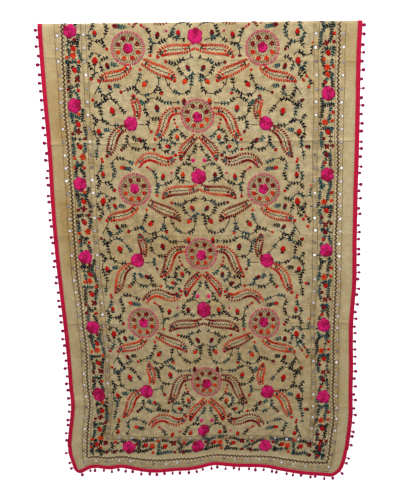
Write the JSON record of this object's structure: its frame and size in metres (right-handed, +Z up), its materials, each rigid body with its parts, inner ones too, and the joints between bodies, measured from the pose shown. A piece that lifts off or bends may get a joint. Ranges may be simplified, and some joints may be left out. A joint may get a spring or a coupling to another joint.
{
  "type": "phulkari shawl",
  "caption": "Embroidered cotton shawl folded across and laid flat, with thick pink thread flowers and a crimson pompom tape along its edges.",
  "frame": {"origin": "middle of the shawl's own bounds on the floor plane it rests on", "axes": "+Y towards the fold, along the shown length; -Y towards the hem; +X towards the right edge as seen from above; +Z up, out of the shown side"},
  "size_m": [0.973, 1.4438, 0.0129],
  "materials": {
    "cotton_cloth": "undyed beige plain-weave cotton, matt",
    "crimson_tape": "crimson woven cotton tape with magenta wool pompoms",
    "pink_thread": "thick satin-stitched pink embroidery thread"
  },
  "bodies": {
    "root": {"panel": "cotton_cloth", "edging_left": "crimson_tape", "edging_hem": "crimson_tape", "edging_right": "crimson_tape", "edging_hidden_end": "crimson_tape", "border_flower_left_1": "pink_thread", "border_flower_left_2": "pink_thread", "border_flower_left_3": "pink_thread", "border_flower_left_4": "pink_thread", "border_flower_left_5": "pink_thread", "border_flower_left_6": "pink_thread", "border_flower_right_1": "pink_thread", "border_flower_right_2": "pink_thread", "border_flower_right_3": "pink_thread", "border_flower_right_4": "pink_thread", "border_flower_right_5": "pink_thread", "border_flower_hem_1": "pink_thread", "border_flower_hem_2": "pink_thread", "border_flower_hem_3": "pink_thread", "middle_flower_1": "pink_thread", "middle_flower_2": "pink_thread", "middle_flower_3": "pink_thread", "middle_flower_4": "pink_thread", "field_flower_left_1": "pink_thread", "field_flower_left_2": "pink_thread", "field_flower_left_3": "pink_thread", "field_flower_right_1": "pink_thread", "field_flower_right_2": "pink_thread", "field_flower_right_3": "pink_thread", "medallion_heart_left_1": "pink_thread", "medallion_heart_left_2": "pink_thread", "medallion_heart_left_3": "pink_thread", "medallion_heart_right_1": "pink_thread", "medallion_heart_right_2": "pink_thread", "medallion_heart_right_3": "pink_thread", "medallion_heart_middle_1": "pink_thread", "medallion_heart_middle_2": "pink_thread", "medallion_heart_middle_3": "pink_thread"}
  },
  "joints": []
}
